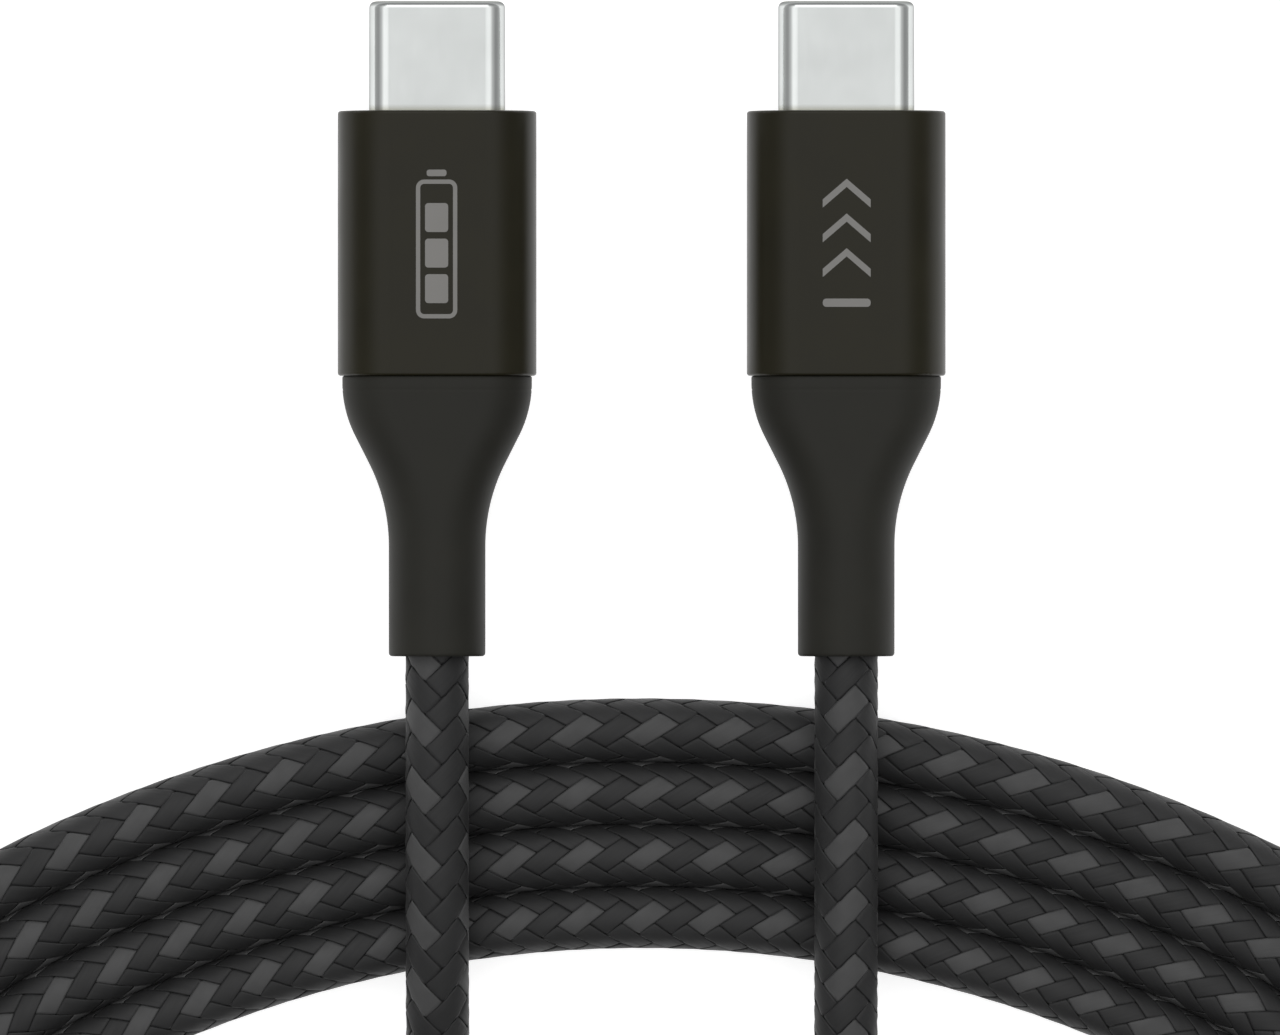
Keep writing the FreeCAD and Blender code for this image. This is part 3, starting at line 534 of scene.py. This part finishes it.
def boot_rings():
    """Rings from the spigot's front back over the boot, round its rear rim and along the bore."""
    rings = [stadium_ring(SPIGOT_WIDTH / 2, SPIGOT_THICK / 2, SPIGOT_FRONT)]
    rings.append(stadium_ring(SPIGOT_WIDTH / 2, SPIGOT_THICK / 2, -HOUSING_LENGTH))
    line = BOOT_LINE_AT
    stops = [0, HEAD_ROUND * 0.3, HEAD_ROUND]
    stops += [line + steps * BOOT_LINE_HALF for steps in (-2, -1, 0, 1, 2)]
    stops += list(np.linspace(line + 4 * BOOT_LINE_HALF, BOOT_LENGTH - TAIL_ROUND, BOOT_RINGS))
    for behind in stops:
        inset = 0.0
        if behind < HEAD_ROUND:
            inset = HEAD_ROUND - math.sqrt(HEAD_ROUND ** 2 - (HEAD_ROUND - behind) ** 2)
        if abs(behind - line) < BOOT_LINE_HALF / 2:
            inset = BOOT_LINE_DEPTH
        half_width = boot_half_width(behind) - inset
        rings.append(stadium_ring(half_width, BOOT_TAIL_R - inset, -HOUSING_LENGTH - behind))
    rear = -HOUSING_LENGTH - BOOT_LENGTH
    for index in range(1, TAIL_RINGS + 1):
        angle = math.pi / 2 * index / TAIL_RINGS
        radius = BOOT_TAIL_R - TAIL_ROUND * (1 - math.cos(angle))
        rings.append(stadium_ring(radius, radius, rear + TAIL_ROUND * (1 - math.sin(angle))))
    rings.append(stadium_ring(BOOT_BORE_R + HEAD_ROUND, BOOT_BORE_R + HEAD_ROUND, rear))
    rings.append(stadium_ring(BOOT_BORE_R, BOOT_BORE_R, rear + HEAD_ROUND))
    rings.append(stadium_ring(BOOT_BORE_R, BOOT_BORE_R, SPIGOT_FRONT))
    return rings


def boot(end):
    """The strain relief of one connector, a closed mesh that stands for the CAD solid."""
    rings = boot_rings()
    columns = len(rings[0])
    faces = []
    for row in range(len(rings)):
        after = (row + 1) % len(rings)
        for column in range(columns):
            beside = (column + 1) % columns
            faces.append([row * columns + column, row * columns + beside,
                          after * columns + beside, after * columns + column])
    matrix = connector_matrix(end)
    vertices = [matrix @ Vector(point) for ring in rings for point in ring]
    made = mesh_object("boot_" + end, vertices, faces)
    made.data.set_sharp_from_angle(angle=SHARP_ANGLE)
    made.data.materials.append(MATERIALS["boot"])
    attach(made, "cable")
    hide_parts("strain_relief_" + end)


# ---- printed marks ----
def rounded_outline(width, length, corner, steps=8):
    """A closed outline in plan, round its centre, with rounded corners."""
    outline = []
    for x_side, y_side, first in ((1, 1, 0), (-1, 1, 90), (-1, -1, 180), (1, -1, 270)):
        for index in range(steps + 1):
            angle = math.radians(first + 90 * index / steps)
            x = x_side * (width / 2 - corner) + corner * math.cos(angle)
            outline.append((x, y_side * (length / 2 - corner) + corner * math.sin(angle)))
    return outline


def printed(outline, hole, y, vertices, faces):
    """Adds a flat print to lists of vertices and faces. A hole makes it a frame of even width."""
    base = len(vertices)
    count = len(outline)
    for level in (0, PRINT_THICK):
        vertices += [(px, y + py, level) for px, py in outline]
    for index in range(count):
        beside = (index + 1) % count
        faces.append([base + index, base + beside, base + count + beside, base + count + index])
    if hole is None:
        faces.append([base + count + index for index in range(count)])
        return
    inner = len(vertices)
    for level in (PRINT_THICK, 0):
        vertices += [(px, y + py, level) for px, py in hole]
    for index in range(count):
        beside = (index + 1) % count
        faces.append([base + count + index, base + count + beside, inner + beside, inner + index])
        faces.append([inner + index, inner + beside, inner + count + beside, inner + count + index])


def charge_mark():
    """A plain battery sign: a rounded frame with a terminal and three level bars."""
    vertices = []
    faces = []
    width, length, corner = BATTERY
    hole = rounded_outline(width - 2 * PRINT_LINE, length - 2 * PRINT_LINE, corner - PRINT_LINE)
    printed(rounded_outline(*BATTERY), hole, BATTERY_Y, vertices, faces)
    printed(rounded_outline(*TERMINAL), None, TERMINAL_Y, vertices, faces)
    for index in range(SIGN_REPEATS):
        printed(rounded_outline(*LEVEL), None, LEVEL_FIRST_Y + LEVEL_STEP * index, vertices, faces)
    return vertices, faces


def direction_mark():
    """Plain chevrons that point to the plug, over a short bar."""
    vertices = []
    faces = []
    right = [
        (0, CHEVRON_RISE),
        (CHEVRON_HALF, 0),
        (CHEVRON_HALF, -CHEVRON_THICK),
        (0, CHEVRON_RISE - CHEVRON_THICK),
    ]
    chevron = right + [(-CHEVRON_HALF, -CHEVRON_THICK), (-CHEVRON_HALF, 0)]
    for index in range(SIGN_REPEATS):
        printed(chevron, None, CHEVRON_FIRST_Y + CHEVRON_STEP * index, vertices, faces)
    printed(rounded_outline(*BAR), None, BAR_Y, vertices, faces)
    return vertices, faces


def mark(end, drawing):
    """Lays a printed sign on top of one housing."""
    vertices, faces = drawing
    matrix = connector_matrix(end) @ Matrix.Translation((0, PRINT_CENTRE_Y, HOUSING_THICK / 2))
    made = mesh_object("mark_" + end, [matrix @ Vector(v) for v in vertices], faces)
    made.data.set_sharp_from_angle(angle=SHARP_ANGLE)
    made.data.materials.append(print_material())
    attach(made, "cable")


# ---- materials ----
def new_material(name):
    """A node material, its nodes and links, and its shader."""
    made = bpy.data.materials.new(name)
    made.use_nodes = True
    nodes = made.node_tree.nodes
    return made, nodes, made.node_tree.links, nodes["Principled BSDF"]


def node(nodes, kind, inputs=None, **settings):
    """A new node with its settings and unlinked inputs."""
    made = nodes.new(kind)
    for name, value in settings.items():
        setattr(made, name, value)
    for name, value in (inputs or {}).items():
        made.inputs[name].default_value = value
    return made


def noise(nodes, links, scale, detail=3.0, stretch=(1, 1, 1)):
    """Noise in object coordinates; scale counts its features in a metre."""
    place = node(nodes, "ShaderNodeTexCoord")
    mapping = node(nodes, "ShaderNodeMapping", {"Scale": stretch})
    texture = node(nodes, "ShaderNodeTexNoise", {"Scale": scale, "Detail": detail})
    links.new(place.outputs["Object"], mapping.inputs["Vector"])
    links.new(mapping.outputs["Vector"], texture.inputs["Vector"])
    return texture.outputs["Fac"]


def between(nodes, links, factor, low, high):
    """A value that runs from low to high as the noise does."""
    limits = {"From Min": 0.3, "From Max": 0.7, "To Min": low, "To Max": high}
    spread = node(nodes, "ShaderNodeMapRange", limits)
    links.new(factor, spread.inputs["Value"])
    return spread.outputs["Result"]


def set_ramp(ramp, stops):
    """Gives a colour ramp its stops, each a position and a colour."""
    elements = ramp.color_ramp.elements
    while len(elements) < len(stops):
        elements.new(0.5)
    for element, (position, colour) in zip(elements, stops):
        element.position = position
        element.color = (*colour, 1)


def tint(nodes, links, factor, colour, change):
    """A colour that varies by a share of itself, from darker to lighter."""
    ramp = node(nodes, "ShaderNodeValToRGB")
    darker = [c * (1 - change) for c in colour]
    lighter = [c * (1 + change) for c in colour]
    set_ramp(ramp, [(0.3, darker), (0.7, lighter)])
    links.new(factor, ramp.inputs["Fac"])
    return ramp.outputs["Color"]


def bump(nodes, links, height, strength, distance, shader):
    """Relief of the given depth in metres."""
    relief = node(nodes, "ShaderNodeBump", {"Strength": strength, "Distance": distance})
    links.new(height, relief.inputs["Height"])
    links.new(relief.outputs["Normal"], shader.inputs["Normal"])


def plastic(name, colour, roughness, grain=9000, depth=0.004 * MM, change=0.10, gloss=0.5):
    """Moulded plastic or rubber: fine grain, slow changes of colour and gloss."""
    made, nodes, links, shader = new_material(name)
    slow = noise(nodes, links, CLOUD_SCALE, 2.0)
    fine = noise(nodes, links, grain, 4.0)
    links.new(tint(nodes, links, slow, colour, change), shader.inputs["Base Color"])
    links.new(between(nodes, links, slow, roughness - 0.03, roughness + 0.03), shader.inputs["Roughness"])
    bump(nodes, links, fine, 0.6, depth, shader)
    shader.inputs["Specular IOR Level"].default_value = gloss
    return made


def metal(name, colour, roughness, stretch=(1, 0.06, 1), grain=14000, depth=0.0012 * MM, edge=0.8):
    """Drawn or stamped metal: faint lines along the way it was worked."""
    made, nodes, links, shader = new_material(name)
    lines = noise(nodes, links, grain, 3.0, stretch)
    slow = noise(nodes, links, METAL_CLOUD_SCALE, 2.0)
    links.new(tint(nodes, links, slow, colour, 0.04), shader.inputs["Base Color"])
    links.new(between(nodes, links, lines, roughness - 0.04, roughness + 0.04), shader.inputs["Roughness"])
    bump(nodes, links, lines, 0.5, depth, shader)
    shader.inputs["Metallic"].default_value = 1.0
    shader.inputs["Specular Tint"].default_value = (edge, edge, edge, 1)
    return made


def shell_material():
    """Satin nickel with painted shade multiplied into its colour: darker where its rim turns in and where
    it goes into the housing.

    The two plugs lie side by side, so one mount gives both their places along the common axis."""
    made = metal("shell", SHELL_NICKEL, 0.14, grain=6000, depth=0.0003 * MM, edge=0.5)
    nodes, links = made.node_tree.nodes, made.node_tree.links
    shader = nodes["Principled BSDF"]
    colour = shader.inputs["Base Color"].links[0].from_socket
    mount = frame["record"]["mounts"][0]
    axis = Vector(mount["axis"])
    place = node(nodes, "ShaderNodeTexCoord")
    along = node(nodes, "ShaderNodeVectorMath", {1: tuple(axis)}, operation="DOT_PRODUCT")
    span = node(nodes, "ShaderNodeMapRange")
    tip = axis.dot(Vector(mount["pos_m"]))
    span.inputs["From Min"].default_value = tip - PLUG_REACH * MM
    span.inputs["From Max"].default_value = tip
    # painted shade along the plug: a warm painted shadow by the housing, a painted dark line at the rim
    shade = node(nodes, "ShaderNodeValToRGB")
    set_ramp(shade, SHELL_PAINTED_SHADE)
    mixed = node(nodes, "ShaderNodeMix", {"Factor": 1.0}, data_type="RGBA", blend_type="MULTIPLY")
    links.new(place.outputs["Object"], along.inputs[0])
    links.new(along.outputs["Value"], span.inputs["Value"])
    links.new(span.outputs["Result"], shade.inputs["Fac"])
    links.new(colour, mixed.inputs["A"])
    links.new(shade.outputs["Color"], mixed.inputs["B"])
    links.new(mixed.outputs["Result"], shader.inputs["Base Color"])
    return made


def braid_material(name, colour):
    """Nylon strand: filaments along it, a soft sheen and slow changes of shade."""
    made, nodes, links, shader = new_material(name)
    place = node(nodes, "ShaderNodeAttribute", attribute_name="strand_place")
    shade = noise(nodes, links, BRAID_CLOUD_SCALE, 2.0)
    links.new(tint(nodes, links, shade, colour, 0.10), shader.inputs["Base Color"])
    stretch = node(nodes, "ShaderNodeMapping", {"Scale": FILAMENT_STRETCH})
    links.new(place.outputs["Vector"], stretch.inputs["Vector"])
    filament = node(nodes, "ShaderNodeTexNoise", {"Scale": 1.0, "Detail": 2.0})
    links.new(stretch.outputs["Vector"], filament.inputs["Vector"])
    bump(nodes, links, filament.outputs["Fac"], 0.35, 0.02 * MM, shader)
    links.new(between(nodes, links, filament.outputs["Fac"], 0.50, 0.62), shader.inputs["Roughness"])
    shader.inputs["Sheen Weight"].default_value = 0.02
    shader.inputs["Sheen Roughness"].default_value = 0.4
    shader.inputs["Specular IOR Level"].default_value = 0.30
    return made


def print_material():
    """Grey ink, thin and slightly uneven."""
    return plastic("print_ink", (0.190, 0.185, 0.175), 0.50, grain=12000, depth=0.001 * MM, change=0.05)


def cad_materials():
    """A material for each of the record's slots."""
    return {
        "housing": plastic("housing", (0.0104, 0.0088, 0.0020), 0.36,
                           grain=11000, depth=0.0015 * MM, gloss=0.24),
        "boot": plastic("boot", (0.0170, 0.0165, 0.0130), 0.56, depth=0.0025 * MM, gloss=0.20),
        "shell": shell_material(),
        "contact_block": plastic("contact_block", (0.012, 0.012, 0.012), 0.45),
        "contacts": metal("contacts", (0.86, 0.64, 0.28), 0.22, stretch=(1, 0.2, 1)),
        "spring_steel": metal("spring_steel", (0.58, 0.57, 0.55), 0.30, stretch=(0.1, 1, 1)),
        "card": plastic("card", (0.010, 0.075, 0.030), 0.38, grain=5000, depth=0.003 * MM),
        "pads": metal("pads", (0.82, 0.62, 0.28), 0.34, stretch=(1, 1, 1)),
        "card_parts": plastic("card_parts", (0.24, 0.16, 0.09), 0.42),
        "chip": plastic("chip", (0.010, 0.010, 0.011), 0.52),
        "can": metal("can", (0.62, 0.62, 0.62), 0.33, stretch=(0.08, 1, 1)),
        "power_wire": plastic("power_wire", (0.42, 0.025, 0.020), 0.42),
        "signal_wire": plastic("signal_wire", (0.66, 0.66, 0.62), 0.42),
        "braid": braid_material("braid_end", DARK_NYLON),
        "jacket": plastic("jacket", (0.016, 0.016, 0.016), 0.55),
        "ferrule": metal("ferrule", (0.66, 0.64, 0.60), 0.30, stretch=(1, 1, 0.1)),
        "mould": plastic("mould", (0.055, 0.055, 0.055), 0.50, grain=6000),
    }


def dress_cad_nodes():
    """Gives every CAD node the material of its slot."""
    for part in frame["record"]["subparts"]:
        mesh = frame["nodes"][part["node"]].data
        mesh.materials.clear()
        mesh.materials.append(MATERIALS[part["material_slot"]])


# ---- stage ----
def make_camera():
    """A long lens square above the connectors, with the top of its picture the way they point."""
    data = bpy.data.cameras.new("camera")
    data.sensor_width = SENSOR
    data.lens = LENS
    camera = bpy.data.objects.new("camera", data)
    bpy.context.scene.collection.objects.link(camera)
    distance = VIEW_WIDTH * LENS / SENSOR / MM
    stand = connector_matrix("a") @ Matrix.Translation((0, -VIEW_BEHIND, distance))
    turned = stand.to_3x3().normalized().to_4x4()
    camera.matrix_world = Matrix.Translation((VIEW_CENTRE_X, *stand.translation[1:])) @ turned
    bpy.context.scene.camera = camera


def make_floor():
    """A plain, near-white floor that glows a little, as a sweep lit from below does."""
    corners = [(x * FLOOR_HALF, y * FLOOR_HALF, 0) for x, y in ((-1, -1), (1, -1), (1, 1), (-1, 1))]
    floor = mesh_object("floor", corners, [[0, 1, 2, 3]])
    made, _, _, shader = new_material("floor")
    shader.inputs["Base Color"].default_value = FLOOR_WHITE
    shader.inputs["Roughness"].default_value = 0.9
    shader.inputs["Specular IOR Level"].default_value = 0.0
    shader.inputs["Emission Color"].default_value = (1, 1, 1, 1)
    shader.inputs["Emission Strength"].default_value = FLOOR_GLOW
    floor.data.materials.append(made)


def make_world():
    """Soft studio surroundings: palest high up, darker at middle height, lighter towards +Y."""
    world = bpy.data.worlds.new("studio")
    bpy.context.scene.world = world
    world.use_nodes = True
    nodes, links = world.node_tree.nodes, world.node_tree.links
    place = node(nodes, "ShaderNodeTexCoord")
    split = node(nodes, "ShaderNodeSeparateXYZ")
    ramp = node(nodes, "ShaderNodeValToRGB")
    set_ramp(ramp, [(height, (level, level, level)) for height, level in SKY_LEVELS])
    towards = node(nodes, "ShaderNodeVectorMath", {1: SKY_LEAN}, operation="DOT_PRODUCT")
    lean = node(nodes, "ShaderNodeMath", {1: 1.0}, operation="ADD")
    links.new(place.outputs["Generated"], split.inputs["Vector"])
    links.new(place.outputs["Generated"], towards.inputs[0])
    links.new(split.outputs["Z"], ramp.inputs["Fac"])
    links.new(towards.outputs["Value"], lean.inputs[0])
    links.new(ramp.outputs["Color"], nodes["Background"].inputs["Color"])
    links.new(lean.outputs["Value"], nodes["Background"].inputs["Strength"])


def make_key_light():
    """One broad square light from beyond the plugs."""
    data = bpy.data.lights.new("key", "AREA")
    data.size = KEY_SIZE
    data.energy = KEY_POWER
    light = bpy.data.objects.new("key", data)
    light.location = KEY_PLACE
    light.rotation_euler = (Vector(KEY_TARGET) - Vector(KEY_PLACE)).to_track_quat("-Z", "Y").to_euler()
    bpy.context.scene.collection.objects.link(light)


MATERIALS = cad_materials()
dress_cad_nodes()
make_cord()
boot("a")
boot("b")
mark("a", charge_mark())
mark("b", direction_mark())
make_camera()
make_floor()
make_world()
make_key_light()
bpy.context.scene.view_settings.view_transform = "Standard"
